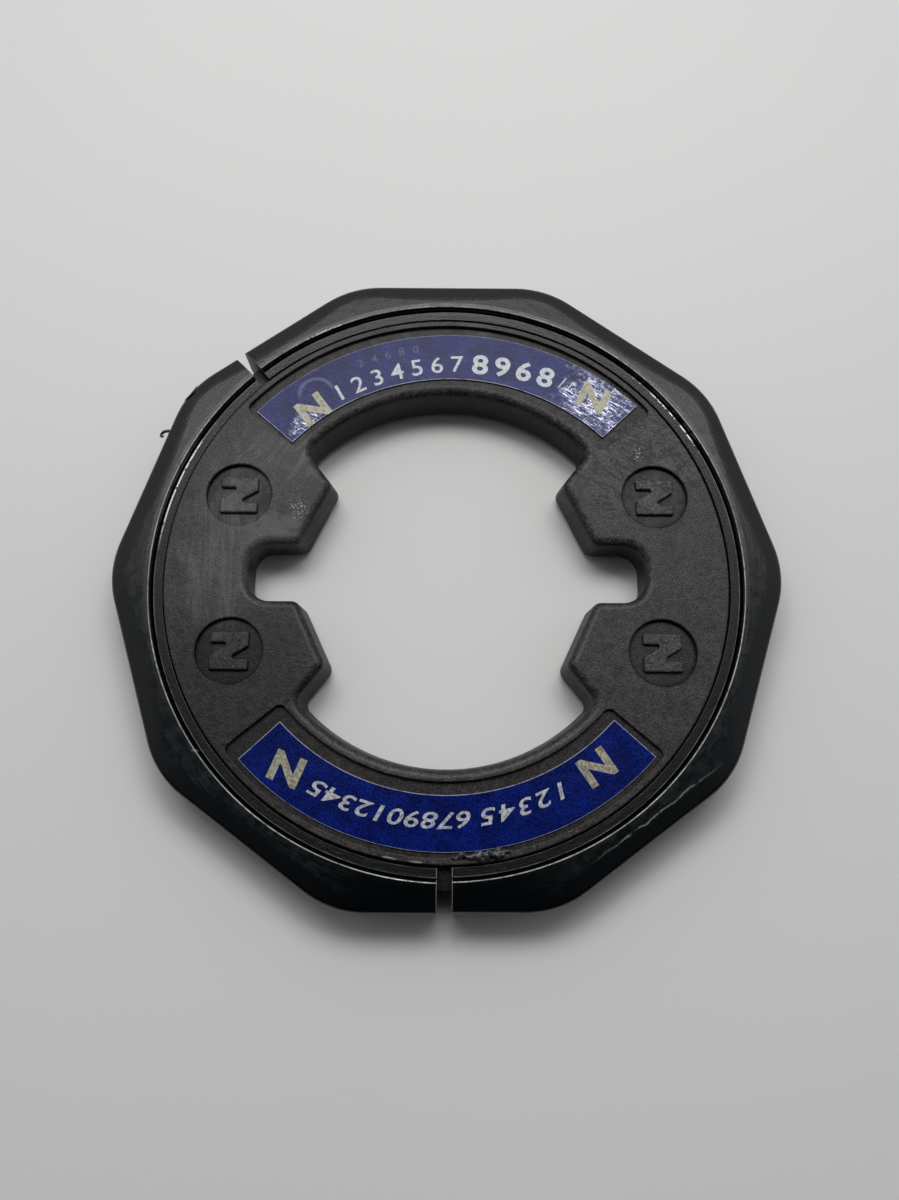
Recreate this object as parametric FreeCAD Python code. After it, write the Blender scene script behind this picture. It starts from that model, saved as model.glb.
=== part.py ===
import FreeCAD, Part
import math
import os

# Magnetic weight ring of a toy spinning top.
# A moulded magnet core with a keyed centre opening carries a ten-sided metal rim
# in two segments, and two printed foil labels lie in recesses on its upper face.
# Millimetres.  +Z is the labelled face, +Y points at the upper label, and the
# origin is the middle of the face that the rim stands on.

V = FreeCAD.Vector
UP = V(0, 0, 1)
SIDES = 10
STEP_DEG = 360.0 / SIDES
QUARTERS = ((1, 1), (1, -1), (-1, 1), (-1, -1))

# ---- heights, measured from the face that the rim stands on
RIM_H = 3.6
CORE_H = 3.0
CORE_Z0 = (RIM_H - CORE_H) / 2
CORE_Z1 = CORE_Z0 + CORE_H
MID_Z = RIM_H / 2
EPS = 0.5

# ---- rim: decagon and section
CORNER_R = 24.0
APOTHEM = CORNER_R * math.cos(math.radians(STEP_DEG / 2))
CORNER_FILLET = 7.0
BEVEL_W = 1.15
BEVEL_DEG = 15.0
BEVEL_DROP = BEVEL_W * math.tan(math.radians(BEVEL_DEG))
CROWN_FLAT = 0.35
CROWN_DROP = 0.035
CROWN_FILLET = 3.0
OUTER_EDGE_FILLET = 0.4
RIM_IN_R = 19.98
LEDGE_R = 20.60
LEDGE_DROP = 0.33
LEDGE_TILT = 0.09
GROOVE_DEPTH = 0.22
GROOVE_FLOOR_R = 20.70
CROWN_R = 20.86
RIM_EDGE_FILLET = 0.09
INNER_EDGE_FILLET = 0.05

# ---- rim: the two saw gaps, as (direction in degrees, width), and how the
# short segment sits a little off centre inside its play on the core
GAPS = ((132.75, 0.80), (269.85, 1.04))
SHORT_SHIFT = (0.07, -0.06)

# ---- tongue on the core that the rim is clamped over
TONGUE_H = 1.6
TONGUE_R = 21.45
TONGUE_PLAY = 0.12

# ---- core
CORE_R = 19.86
CORE_EDGE_FILLET = 0.10
MOUTH_FILLET = 0.60
BACK_FILLET = 0.30

# ---- centre opening, as (throat on the underside, mouth on the labelled face)
BORE_R = (13.48, 13.80)
KEY_HALF_W = (2.06, 2.07)
KEY_END = (13.95, 14.08)
LUG_TIP_X = (7.98, 8.38)
LUG_TIP_Y = (6.70, 6.60)
KEY_END_FILLET = (1.45, 1.70)
LUG_TIP_FILLET = (0.75, 0.66)
LUG_HEEL_FILLET = (0.70, 0.68)
LUG_ROOT_FILLET = (0.60, 0.85)
LUG_FACE_DEG = 25.2
LUG_FLANK_DEG = 52.1
OPENING_R = BORE_R[1] + MOUTH_FILLET

# ---- label recesses
RECESS_R = (14.52, 19.42)
RECESS_DEPTH = 0.30
RECESS_CORNER = 0.50
RECESS_LIP_FILLET = 0.05
RECESS_SPANS = ((39.3, 139.9), (219.7, 319.5))

# ---- labels: span, radii, centre
LABEL_T = 0.12
LABEL_CORNER = 0.15
LABELS = {
    "label_upper": ((44.3, 138.3), (15.55, 19.20), (0.27, -0.48)),
    "label_lower": ((223.4, 317.8), (15.38, 19.05), (0.0, 0.0)),
}

# ---- polarity roundels
ROUNDEL_POS = (14.95, 5.72)
ROUNDEL_R = 2.33
ROUNDEL_DEPTH = 0.32
ROUNDEL_LIP_FILLET = 0.08
LETTER_H = 0.26
LETTER_SIZE = 2.70
STROKE = 0.78
SLANT = 1.02
LETTER_FILLET = 0.14


def polar(radius, degrees, z=0.0, centre=(0.0, 0.0)):
    a = math.radians(degrees)
    return V(centre[0] + radius * math.cos(a), centre[1] + radius * math.sin(a), z)


def arc(radius, a0, a1, z=0.0, centre=(0.0, 0.0)):
    points = [polar(radius, a, z, centre) for a in (a0, (a0 + a1) / 2, a1)]
    return Part.Arc(*points).toShape()


def line(p, q):
    return Part.LineSegment(p, q).toShape()


def sector(radii, span, z, height, corner=0.0, centre=(0.0, 0.0)):
    """A flat ring sector with rounded corners."""
    r_in, r_out = radii
    a0, a1 = span
    edges = [
        arc(r_out, a0, a1, z, centre),
        line(polar(r_out, a1, z, centre), polar(r_in, a1, z, centre)),
        arc(r_in, a1, a0, z, centre),
        line(polar(r_in, a0, z, centre), polar(r_out, a0, z, centre)),
    ]
    solid = Part.Face(Part.Wire(edges)).extrude(UP * height)
    if corner:
        solid = solid.makeFillet(corner, upright_edges(solid))
    return solid


def upright_edges(shape, near=None, within=0.0):
    """Straight edges along Z, all of them or those near a point in plan."""
    found = []
    for edge in shape.Edges:
        box = edge.BoundBox
        if box.XLength > 1e-6 or box.YLength > 1e-6:
            continue
        if near and math.hypot(box.XMin - near[0], box.YMin - near[1]) > within:
            continue
        found.append(edge)
    return found


def edges_at(shape, z, r_min=0.0, r_max=CORNER_R, clear_of_x=0.0):
    """Edges in the plane z whose middle lies between two radii and off the X axis."""
    found = []
    for edge in shape.Edges:
        box = edge.BoundBox
        if abs(box.ZMin - z) > 1e-4 or abs(box.ZMax - z) > 1e-4:
            continue
        middle = edge.valueAt((edge.FirstParameter + edge.LastParameter) / 2)
        if r_min < math.hypot(middle.x, middle.y) < r_max and abs(middle.y) >= clear_of_x:
            found.append(edge)
    return found


# ------------------------------------------------------------------ rim
def decagon(inset, z):
    """The rim's outline with rounded corners, pulled in by inset."""
    apothem = APOTHEM - inset
    fillet = CORNER_FILLET - inset
    centre_r = (apothem - fillet) / math.cos(math.radians(STEP_DEG / 2))
    edges = []
    for k in range(SIDES):
        here = k * STEP_DEG
        centre = polar(centre_r, here)
        nxt = polar(centre_r, here + STEP_DEG)
        a1 = here + STEP_DEG / 2
        edges.append(arc(fillet, here - STEP_DEG / 2, a1, z, (centre.x, centre.y)))
        edges.append(line(polar(fillet, a1, z, (centre.x, centre.y)),
                          polar(fillet, a1, z, (nxt.x, nxt.y))))
    return Part.Wire(edges)


def rim_envelope():
    """The decagonal outside of the rim: upright sides and a bevel on both faces."""
    low = RIM_H - CROWN_DROP - BEVEL_DROP
    body = Part.Face(decagon(0, RIM_H - low)).extrude(UP * (2 * low - RIM_H))
    cap = Part.makeLoft([decagon(0, low), decagon(BEVEL_W, RIM_H - CROWN_DROP)], True, True)
    lid = Part.Face(decagon(BEVEL_W, RIM_H - CROWN_DROP)).extrude(UP * EPS)
    base_cap = cap.mirror(V(0, 0, MID_Z), UP)
    base_lid = lid.mirror(V(0, 0, MID_Z), UP)
    return body.multiFuse([cap, base_cap, lid, base_lid]).removeSplitter()


def rim_section():
    """Half section of the rim in the XZ plane, mirrored about the mid-plane."""
    far_r = CORNER_R + 1
    tongue_top = MID_Z + TONGUE_H / 2
    slope_r = CROWN_R + CROWN_FLAT
    far_z = RIM_H - CROWN_DROP * (far_r - slope_r) / (APOTHEM - BEVEL_W - slope_r)
    half = [
        (TONGUE_R + TONGUE_PLAY, MID_Z),
        (TONGUE_R + TONGUE_PLAY, tongue_top),
        (RIM_IN_R, tongue_top),
        (RIM_IN_R, RIM_H - LEDGE_DROP - LEDGE_TILT),
        (LEDGE_R, RIM_H - LEDGE_DROP),
        (GROOVE_FLOOR_R, RIM_H - LEDGE_DROP - GROOVE_DEPTH),
        (CROWN_R, RIM_H),
        (slope_r, RIM_H),
        (far_r, far_z),
        (far_r, MID_Z),
    ]
    mirrored = [(r, RIM_H - z) for r, z in reversed(half[1:-1])]
    outline = half + mirrored
    points = [V(r, 0, z) for r, z in outline]
    return Part.Face(Part.makePolygon(points + points[:1]))


def rim_segments():
    """The bent ring, sawn through at the two gaps: long segment first."""
    ring = rim_section().revolve(V(0, 0, 0), UP, 360)
    ring = ring.common(rim_envelope())
    for direction, width in GAPS:
        slot = Part.makeBox(CORNER_R, width, RIM_H + 2, V(0, -width / 2, -1))
        slot.rotate(V(0, 0, 0), UP, direction)
        ring = ring.cut(slot)
    return sorted(ring.Solids, key=lambda solid: -solid.Volume)


def crown_edges(solid, underside):
    """The edges where the crown of one face turns into the bevel."""
    found = []
    for edge in solid.Edges:
        depths = [v.Z if underside else RIM_H - v.Z for v in edge.Vertexes]
        radii = [math.hypot(v.X, v.Y) for v in edge.Vertexes]
        if max(depths) < BEVEL_DROP / 2 and min(radii) > APOTHEM - BEVEL_W - EPS / 2:
            found.append(edge)
    return found


def soften_rim(solid):
    """Round the outer edge of the bevel, its turn into the crown and the edges of the step."""
    low = RIM_H - CROWN_DROP - BEVEL_DROP
    for z in (low, RIM_H - low):
        solid = solid.makeFillet(OUTER_EDGE_FILLET, edges_at(solid, z, APOTHEM - 0.1))
    for underside in (False, True):
        solid = solid.makeFillet(CROWN_FILLET, crown_edges(solid, underside))
    ledge = RIM_H - LEDGE_DROP
    for z, radius, fillet in (
        (RIM_H, CROWN_R, RIM_EDGE_FILLET),
        (ledge, LEDGE_R, RIM_EDGE_FILLET),
        (ledge - LEDGE_TILT, RIM_IN_R, INNER_EDGE_FILLET),
    ):
        for level in (z, RIM_H - z):
            chosen = edges_at(solid, level, radius - 0.02, radius + 0.02)
            solid = solid.makeFillet(fillet, [edge for edge in chosen if edge.Length > 1.0])
    return solid


# ------------------------------------------------------------------ core
def opening_outline(level, z):
    """The keyed opening: a bore with four lugs and two keyways, at throat 0 or mouth 1."""
    bore = BORE_R[level]
    key_w = KEY_HALF_W[level]
    key_end = KEY_END[level]
    face = math.tan(math.radians(LUG_FACE_DEG))
    flank = math.radians(LUG_FLANK_DEG)
    tip = V(LUG_TIP_X[level], LUG_TIP_Y[level], z)
    heel_x = tip.x + (tip.y - key_w) * face

    far = bore + EPS
    plan = [
        tip,
        V(tip.x + (far - tip.y) / math.tan(flank), far, z),
        V(CORNER_R, far, z),
        V(CORNER_R, 0, z),
        V(tip.x + tip.y * face, 0, z),
    ]
    solid = Part.makeCylinder(bore, 1, V(0, 0, z))
    for flip_x, flip_y in QUARTERS:
        points = [V(p.x * flip_x, p.y * flip_y, z) for p in plan]
        solid = solid.cut(Part.Face(Part.makePolygon(points + points[:1])).extrude(UP))
    keyways = Part.makeBox(2 * key_end, 2 * key_w, 1, V(-key_end, -key_w, z))
    solid = solid.fuse(keyways).removeSplitter()

    root = flank - math.asin((tip.x * math.sin(flank) - tip.y * math.cos(flank)) / bore)
    corners = (
        ((tip.x, tip.y), LUG_TIP_FILLET),
        ((heel_x, key_w), LUG_HEEL_FILLET),
        ((key_end, key_w), KEY_END_FILLET),
        ((bore * math.cos(root), bore * math.sin(root)), LUG_ROOT_FILLET),
    )
    for (x, y), fillet in corners:
        for flip_x, flip_y in QUARTERS:
            chosen = upright_edges(solid, (x * flip_x, y * flip_y), 0.1)
            solid = solid.makeFillet(fillet[level], chosen)
    return min(solid.Faces, key=lambda side: side.CenterOfMass.z).OuterWire


def opening_tool():
    """The opening as a drafted plug, wider towards the labelled face."""
    plug = Part.makeLoft([opening_outline(0, CORE_Z0), opening_outline(1, CORE_Z1)], True, True)
    below = Part.Face(opening_outline(0, CORE_Z0)).extrude(-UP * EPS)
    above = Part.Face(opening_outline(1, CORE_Z1)).extrude(UP * EPS)
    return plug.multiFuse([below, above])


def letter_n():
    """Raised letter N: two bars and a diagonal, centred on the origin."""
    half = LETTER_SIZE / 2
    bars = [
        Part.makeBox(STROKE, LETTER_SIZE, LETTER_H, V(-half, -half, 0)),
        Part.makeBox(STROKE, LETTER_SIZE, LETTER_H, V(half - STROKE, -half, 0)),
    ]
    points = [
        V(-half, half, 0),
        V(-half + SLANT, half, 0),
        V(half, -half, 0),
        V(half - SLANT, -half, 0),
    ]
    diagonal = Part.Face(Part.makePolygon(points + points[:1])).extrude(UP * LETTER_H)
    return bars[0].multiFuse([bars[1], diagonal]).removeSplitter()


def letter_s():
    """Raised letter S: two bent strokes, centred on the origin."""
    middle = LETTER_SIZE / 4 - STROKE / 8
    radii = (middle - STROKE / 2, middle + STROKE / 2)
    upper = sector(radii, (15, 270), 0, LETTER_H, 0, (0, middle))
    lower = sector(radii, (-165, 90), 0, LETTER_H, 0, (0, -middle))
    return upper.fuse(lower).removeSplitter()


def soft_letter(letter):
    """Round a letter's upright corners and its upper edge."""
    letter = letter.makeFillet(LETTER_FILLET, upright_edges(letter))
    return letter.makeFillet(LETTER_FILLET, edges_at(letter, LETTER_H))


def is_circle(edge, radius, centre, z):
    """Whether an edge is the full circle of that radius about centre, at height z."""
    box = edge.BoundBox
    return (
        abs(box.XLength - 2 * radius) < 1e-3
        and abs(box.YLength - 2 * radius) < 1e-3
        and math.hypot(box.Center.x - centre.x, box.Center.y - centre.y) < 1e-3
        and abs(box.Center.z - z) < 1e-3
    )


def magnet_core():
    core = Part.makeCylinder(CORE_R, CORE_H, V(0, 0, CORE_Z0))
    core = core.fuse(Part.makeCylinder(TONGUE_R, TONGUE_H, V(0, 0, MID_Z - TONGUE_H / 2)))
    core = core.cut(opening_tool())
    for z, fillet in ((CORE_Z1, MOUTH_FILLET), (CORE_Z0, BACK_FILLET)):
        core = core.makeFillet(CORE_EDGE_FILLET, edges_at(core, z, OPENING_R))
        core = core.makeFillet(fillet, edges_at(core, z, 0, OPENING_R))

    floor_z = CORE_Z1 - RECESS_DEPTH
    for span in RECESS_SPANS:
        core = core.cut(sector(RECESS_R, span, floor_z, EPS + RECESS_DEPTH, RECESS_CORNER))
    lip = edges_at(core, CORE_Z1, OPENING_R + 0.05, RECESS_R[1] + 0.05, BORE_R[0] / 2)
    core = core.makeFillet(RECESS_LIP_FILLET, lip)

    north = soft_letter(letter_n())
    south = soft_letter(letter_s())
    south.rotate(V(0, 0, 0), V(1, 0, 0), 180)
    for letter, face_z, sink in ((north, CORE_Z1, -ROUNDEL_DEPTH), (south, CORE_Z0, ROUNDEL_DEPTH)):
        letter.rotate(V(0, 0, 0), UP, 90)
        for flip_x, flip_y in QUARTERS:
            place = V(ROUNDEL_POS[0] * flip_x, ROUNDEL_POS[1] * flip_y, face_z + sink)
            well = Part.makeCylinder(ROUNDEL_R, EPS, place, UP * math.copysign(1, -sink))
            core = core.cut(well)
            rim = [edge for edge in core.Edges if is_circle(edge, ROUNDEL_R, place, face_z)]
            core = core.makeFillet(ROUNDEL_LIP_FILLET, rim)
            mark = letter.copy()
            mark.translate(place)
            core = core.fuse(mark)
    return core.removeSplitter()


# ------------------------------------------------------------------ labels
def label(name):
    span, radii, centre = LABELS[name]
    return sector(radii, span, CORE_Z1 - RECESS_DEPTH, LABEL_T, LABEL_CORNER, centre)


if __name__ == "__main__":
    os.makedirs("parts", exist_ok=True)
    long_segment, short_segment = [soften_rim(solid) for solid in rim_segments()]
    short_segment.translate(V(SHORT_SHIFT[0], SHORT_SHIFT[1], 0))
    parts = {
        "magnet_core": magnet_core(),
        "rim_segment_long": long_segment,
        "rim_segment_short": short_segment,
        "label_upper": label("label_upper"),
        "label_lower": label("label_lower"),
    }
    for name, shape in parts.items():
        print(name, shape.ShapeType, len(shape.Solids), shape.isValid(), "%.1f" % shape.Volume)
        shape.exportStep("parts/" + name + ".step")
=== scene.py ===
"""Magnetic weight ring of a toy spinning top.

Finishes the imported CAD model: moulded magnet core, two coated metal rim segments, two foil
labels with printed marks, and the small torn and worn details of a used ring.
"""

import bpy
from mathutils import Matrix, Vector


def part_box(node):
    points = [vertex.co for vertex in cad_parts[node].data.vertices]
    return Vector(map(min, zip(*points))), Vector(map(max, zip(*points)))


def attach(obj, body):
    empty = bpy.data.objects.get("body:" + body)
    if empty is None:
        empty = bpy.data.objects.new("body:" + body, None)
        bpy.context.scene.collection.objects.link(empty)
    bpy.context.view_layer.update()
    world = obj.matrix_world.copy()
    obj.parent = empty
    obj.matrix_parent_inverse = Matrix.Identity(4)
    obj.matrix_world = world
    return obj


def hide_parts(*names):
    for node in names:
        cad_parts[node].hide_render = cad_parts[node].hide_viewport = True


bl_info = {
    "name": "Magnetic Weight Ring",
    "version": (1, 0, 0),
    "blender": (4, 5, 0),
    "location": "3D View > Sidebar > Weight Ring",
    "description": "Finishes the magnetic weight ring of a toy spinning top round its CAD model",
    "category": "Object",
}

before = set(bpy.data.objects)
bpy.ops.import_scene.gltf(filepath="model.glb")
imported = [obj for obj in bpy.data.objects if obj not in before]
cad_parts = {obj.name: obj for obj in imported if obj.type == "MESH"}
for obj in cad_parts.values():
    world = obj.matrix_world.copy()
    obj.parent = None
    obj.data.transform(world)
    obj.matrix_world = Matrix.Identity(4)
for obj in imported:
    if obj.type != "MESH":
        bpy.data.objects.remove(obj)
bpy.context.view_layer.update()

import math

import bmesh
import bpy
from bpy.props import FloatProperty, FloatVectorProperty, PointerProperty
from bpy.types import Operator, Panel, PropertyGroup
from mathutils import Matrix, Quaternion, Vector, noise

MM = 0.001
UP = Vector((0.0, 0.0, 1.0))

# Ring sizes in millimetres, as in the CAD model.
APOTHEM = 22.825
SIDE_TURN = 36.0
BEVEL_W = 1.15
LEDGE_R = 20.60
CROWN_R = 20.86
CORE_R = 19.86
MID_Z = 1.8
# Each gap of the rim: turn in degrees, width, and how much its edges are worn bare.
GAPS = ((132.75, 0.80, 0.10), (269.85, 1.04, 0.40))
SHORT_SHIFT = (0.07, -0.06, 0.0)
RIM_TOP = 3.6
CORE_TOP = 3.3
DENT_CENTRE = Vector((-9.75, 13.75, 0.0))
DENT_R = 1.25
DENT_WIDTH = 0.13
DENT_HEIGHT = 0.035
ROUNDEL = (14.95, 5.72, 0.0)
TICK = (-16.45, -12.5, RIM_TOP)
ROUNDEL_R = 2.33
ROUNDEL_FLOOR = 2.98
OPENING_R = 14.4


# ---------------------------------------------------------------- settings


def tint(name, description, default):
    """A colour property."""
    return FloatVectorProperty(
        name=name, description=description, default=default, subtype="COLOR", min=0.0, max=1.0
    )


def share(name, description, default):
    """A property between 0 and 1."""
    return FloatProperty(
        name=name, description=description, default=default, min=0.0, max=1.0, subtype="FACTOR"
    )


def length(name, description, default):
    """A length property, in metres."""
    return FloatProperty(
        name=name, description=description, default=default, min=0.0, unit="LENGTH", precision=6
    )


def position(name, description, default):
    """A position property, in metres."""
    return FloatVectorProperty(
        name=name, description=description, default=default, subtype="TRANSLATION", unit="LENGTH"
    )


def angle(name, description, degrees):
    """An angle property, with its default in degrees."""
    turn = math.radians(degrees)
    return FloatProperty(name=name, description=description, default=turn, subtype="ANGLE", unit="ROTATION")


class CameraSettings(PropertyGroup):
    """Where the camera stands and looks."""

    location: position("Location", "Camera position", (0.0000769, -0.018617, 0.065528))
    aim: position("Aim", "Point in the middle of the frame", (0.000222, -0.001976, 0.003))
    roll: angle("Roll", "Turn of the camera about its own axis", 0.811)
    lens: FloatProperty(name="Lens", description="Focal length in millimetres", default=27.70, min=1.0)


class StageSettings(PropertyGroup):
    """Floor and studio light."""

    floor_colour: tint("Floor colour", "Pale floor under the ring", (0.80, 0.80, 0.785))
    floor_size: length("Floor size", "Side of the square floor", 3.0)
    key_power: FloatProperty(
        name="Key power", description="Power of each softbox", default=0.094, unit="POWER"
    )
    key_distance: length("Key distance", "Distance of the softboxes", 0.18)
    key_height: angle("Key height", "Elevation of the softboxes above the floor", 58.0)
    key_spread: angle("Key spread", "Turn of each softbox away from the middle of the far side", 23.0)
    fill_strength: FloatProperty(
        name="Fill strength", description="Brightness of the room round the ring", default=0.62, min=0.0
    )


class CoreSettings(PropertyGroup):
    """Moulded magnet."""

    colour: tint("Core colour", "Bonded ferrite", (0.0180, 0.0172, 0.0182))
    brown: tint("Brown tint", "Warmer flecks of the ferrite", (0.0570, 0.0505, 0.0485))
    dust: tint("Dust colour", "Pale rubbed marks", (0.19, 0.185, 0.18))
    # Painted glint colour of the worn specks on the lugs.
    speck: tint("Speck colour", "Worn specks painted bright as glints", (0.50, 0.50, 0.47))
    # Colour of the painted shade on the sunk parts and of the dark joint.
    shade_and_joint: tint("Shade and joint colour", "Painted shade on the sunk parts and the dark joint", (0.0120, 0.0100, 0.0095))
    roughness: share("Core roughness", "Roughness of the moulded face", 0.46)
    gloss: share("Core gloss", "Strength of the reflection", 0.26)
    relief: length("Core relief", "Depth of the moulded grain", 0.022 * MM)


class RimSettings(PropertyGroup):
    """Coated metal rim."""

    colour: tint("Coating colour", "Dark coating on the rim", (0.0012, 0.0020, 0.0028))
    haze: tint("Haze colour", "Dull film on the crown", (0.0100, 0.0115, 0.0130))
    scuff: tint("Scuff colour", "Scuffed coating", (0.16, 0.165, 0.165))
    sawn: tint("Sawn colour", "Raw faces of the gaps", (0.0060, 0.0060, 0.0060))
    bare: tint("Bare metal", "Metal where the coating is worn off", (0.42, 0.43, 0.43))
    # Painted glint colour of the brightest worn metal.
    worn_glint: tint("Glinting worn metal", "Worn metal painted bright as glints", (0.95, 0.92, 0.84))
    roughness: share("Coating roughness", "Roughness of the coating", 0.22)
    gloss: share("Coating gloss", "Strength of the reflection", 0.40)
    relief: length("Coating relief", "Depth of the brushing and grain", 0.006 * MM)


class LabelSettings(PropertyGroup):
    """Foil labels and their print."""

    upper: tint("Upper label", "Faded blue foil", (0.020, 0.027, 0.150))
    lower: tint("Lower label", "Deep blue foil", (0.0014, 0.0108, 0.1450))
    bloom: tint("Bloom", "Pale haze of fine scratches", (0.22, 0.24, 0.36))
    # Painted glint colour of the crumpled ends.
    glint: tint("Glint", "Painted glint on the crumpled ends", (0.62, 0.63, 0.74))
    paper: tint("Cut edge", "Pale cut edge of the labels", (0.42, 0.43, 0.50))
    silver: tint("Print", "Silver-white print", (0.60, 0.62, 0.66))
    faint: tint("Faint print", "Nearly rubbed out print", (0.10, 0.11, 0.22))
    gold: tint("Polarity print", "Pale gold print of the polarity letters", (0.46, 0.44, 0.33))
    roughness: share("Foil roughness", "Roughness of the foil", 0.26)
    gloss: share("Foil gloss", "Strength of the reflection", 0.16)
    relief: length("Foil relief", "Depth of the fine foil grain", 0.006 * MM)
    bottom: length("Label bottom", "Height of the recess floor under the labels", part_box("label_upper")[0][2])
    thickness: length(
        "Label thickness",
        "Thickness of the foil labels",
        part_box("label_upper")[1][2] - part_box("label_upper")[0][2],
    )
    print_height: length("Print height", "How far the print stands up from the foil", 0.008 * MM)


class BurrSettings(PropertyGroup):
    """Torn flash of the moulding and burrs of the rim."""

    dark: tint("Torn colour", "Torn moulding flash", (0.0080, 0.0080, 0.0090))
    light: tint("Ridge colour", "Lighter ridges of the torn places", (0.10, 0.11, 0.12))
    # Painted sheen: the thin shiny flash by the core's edge is coloured pale grey.
    scraped: tint("Scraped sheen colour", "Scraped edge of the core, painted pale for its sheen", (0.22, 0.22, 0.22))
    scraped_sheen_dark: tint("Scraped shadow", "Darker hollows of the scraped edge", (0.15, 0.15, 0.15))


# ---------------------------------------------------------------- node building


class Graph:
    """Adds nodes to one node tree and links them."""

    def __init__(self, tree):
        self.tree = tree

    def feed(self, socket, value):
        if isinstance(value, bpy.types.NodeSocket):
            self.tree.links.new(value, socket)
        else:
            socket.default_value = value

    def add(self, kind, values=None, **settings):
        node = self.tree.nodes.new(kind)
        for name, value in settings.items():
            setattr(node, name, value)
        for socket, value in (values or {}).items():
            self.feed(node.inputs[socket], value)
        return node

    def math(self, operation, *values, clamp=False):
        node = self.add("ShaderNodeMath", dict(enumerate(values)), operation=operation, use_clamp=clamp)
        return node.outputs[0]

    def vector(self, operation, *values):
        node = self.add("ShaderNodeVectorMath", operation=operation)
        for socket, value in zip(node.inputs, values):
            self.feed(socket, value)
        return node.outputs[0]

    def times(self, first, *others):
        """All values multiplied together."""
        for other in others:
            first = self.math("MULTIPLY", first, other)
        return first

    def scaled_plus(self, value, factor, start):
        """The value times the factor, plus the start."""
        return self.math("MULTIPLY_ADD", value, factor, start)

    def split(self, vector):
        """The three parts of a vector."""
        return self.add("ShaderNodeSeparateXYZ", {0: vector}).outputs

    def distance(self, vector):
        return self.add("ShaderNodeVectorMath", {0: vector}, operation="LENGTH").outputs["Value"]

    def scaled(self, vector, factor):
        node = self.add("ShaderNodeVectorMath", {0: vector, "Scale": factor}, operation="SCALE")
        return node.outputs[0]

    def ramp(self, value, low, high, to_low=0.0, to_high=1.0):
        values = {0: value, 1: low, 2: high, 3: to_low, 4: to_high}
        node = self.add("ShaderNodeMapRange", values, interpolation_type="SMOOTHSTEP")
        return node.outputs[0]

    def noise(self, vector, scale, detail=2.0, roughness=0.5, distortion=0.0):
        values = {
            "Vector": vector,
            "Scale": scale,
            "Detail": detail,
            "Roughness": roughness,
            "Distortion": distortion,
        }
        return self.add("ShaderNodeTexNoise", values).outputs["Fac"]

    def blend(self, factor, first, second):
        node = self.add("ShaderNodeMix", {0: factor, 6: first, 7: second}, data_type="RGBA")
        return node.outputs[2]

    def between(self, factor, first, second):
        node = self.add("ShaderNodeMix", {0: factor, 2: first, 3: second}, data_type="FLOAT")
        return node.outputs[0]

    def most(self, *masks):
        joined = masks[0]
        for mask in masks[1:]:
            joined = self.math("MAXIMUM", joined, mask)
        return joined

    def group(self, name, output, **values):
        tree = bpy.data.node_groups[name]
        named = {key.replace("_", " ").title(): value for key, value in values.items()}
        node = self.add("ShaderNodeGroup", node_tree=tree)
        for socket, value in named.items():
            self.feed(node.inputs[socket], value)
        return node.outputs[output]

    def band(self, value, **values):
        return self.group("Band", "Mask", value=value, **values)

    def spot(self, place, **values):
        return self.group("Spot", "Mask", vector=place, **values)

    def blotches(self, place, **values):
        return self.group("Blotches", "Mask", vector=place, **values)

    def scratches(self, place, **values):
        return self.group("Scratches", "Mask", vector=place, **values)

    def grain(self, place, **values):
        return self.group("Grain", "Value", vector=place, **values)

    def grain_height(self, place, size):
        return self.group("Grain", "Height", vector=place, size=size)


def new_group(name, inputs, outputs):
    """An empty shader node group with named sockets: its graph, and its input and output nodes."""
    tree = bpy.data.node_groups.new(name, "ShaderNodeTree")
    for socket, (kind, default) in inputs.items():
        item = tree.interface.new_socket(socket, in_out="INPUT", socket_type=f"NodeSocket{kind}")
        if default is not None:
            item.default_value = default
    for socket, kind in outputs.items():
        tree.interface.new_socket(socket, in_out="OUTPUT", socket_type=f"NodeSocket{kind}")
    graph = Graph(tree)
    return graph, graph.add("NodeGroupInput").outputs, graph.add("NodeGroupOutput").inputs


def polar_group():
    """Object coordinates in millimetres, with the distance and the turn about a centre."""
    graph, given, result = new_group(
        "Ring Coordinates",
        {"Vector": ("Vector", None), "Centre": ("Vector", (0.0, 0.0, 0.0))},
        {"Millimetres": "Vector", "Radius": "Float", "Turn": "Float", "Along": "Vector"},
    )
    place = graph.vector("SUBTRACT", graph.scaled(given["Vector"], 1.0 / MM), given["Centre"])
    parts = graph.split(place)
    radius = graph.math(
        "SQRT", graph.math("ADD", graph.math("POWER", parts[0], 2.0), graph.math("POWER", parts[1], 2.0))
    )
    turn = graph.math("ARCTAN2", parts[1], parts[0])
    degrees = graph.math("FLOORED_MODULO", graph.math("DEGREES", turn), 360.0)
    from_gap = graph.math("FLOORED_MODULO", graph.math("SUBTRACT", degrees, GAPS[1][0]), 360.0)
    run = graph.times(graph.math("RADIANS", from_gap), CORE_R)
    along = graph.add("ShaderNodeCombineXYZ", {0: run, 1: radius, 2: parts[2]}).outputs[0]
    graph.feed(result["Millimetres"], place)
    graph.feed(result["Radius"], radius)
    graph.feed(result["Turn"], degrees)
    graph.feed(result["Along"], along)


def band_group():
    """1 where a value is within half a width of a centre, fading to 0 over the softness."""
    graph, given, result = new_group(
        "Band",
        {
            "Value": ("Float", 0.0),
            "Centre": ("Float", 0.0),
            "Half Width": ("Float", 0.1),
            "Softness": ("Float", 0.05),
        },
        {"Mask": "Float"},
    )
    away = graph.math("ABSOLUTE", graph.math("SUBTRACT", given["Value"], given["Centre"]))
    edge = graph.math("ADD", given["Half Width"], given["Softness"])
    graph.feed(result["Mask"], graph.ramp(away, given["Half Width"], edge, 1.0, 0.0))


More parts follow.
